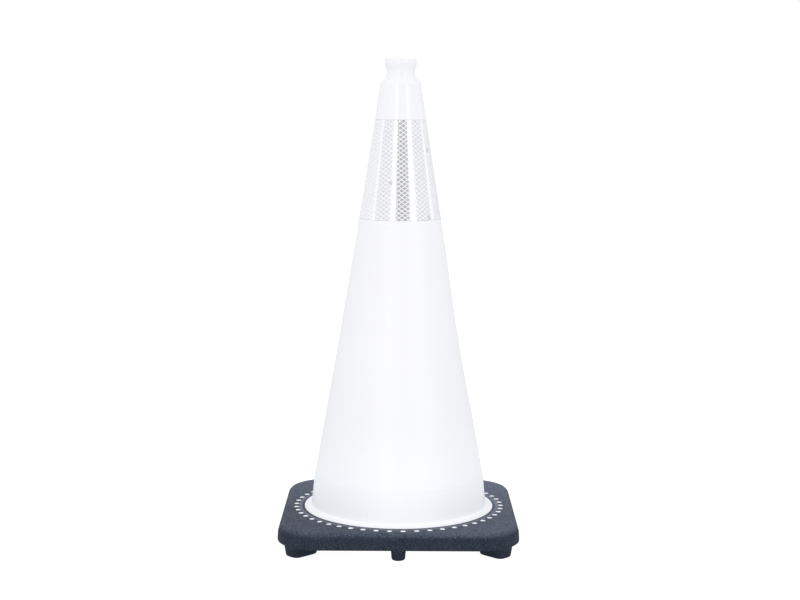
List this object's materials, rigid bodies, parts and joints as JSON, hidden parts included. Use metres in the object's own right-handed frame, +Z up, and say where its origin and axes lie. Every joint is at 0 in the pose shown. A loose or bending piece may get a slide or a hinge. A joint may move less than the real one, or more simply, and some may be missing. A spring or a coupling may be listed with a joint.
{
  "type": "traffic cone",
  "caption": "Tall stackable safety cone: tapered hollow body with an open grooved neck, wide reflective band, and a heavy square footed base plate.",
  "frame": {"origin": "on the ground on the cone's axis, at the middle of the foot treads", "axes": "+Z up along the cone's axis to the open top; +X and +Y square to the base plate's flat sides, -Y is the front"},
  "size_m": [0.3518, 0.3518, 0.7112],
  "materials": {
    "cone_body": "glossy white flexible PVC moulding",
    "base_plate": "matte black recycled PVC with a fine pebbled grain",
    "collar_backing": "white vinyl backing film",
    "collar_prism": "silver prismatic reflective film bonded in a diamond grid"
  },
  "bodies": {
    "root": {"cone_body": "cone_body", "base_plate": "base_plate", "collar_backing_film": "collar_backing", "collar_prism_film": "collar_prism"}
  },
  "joints": []
}
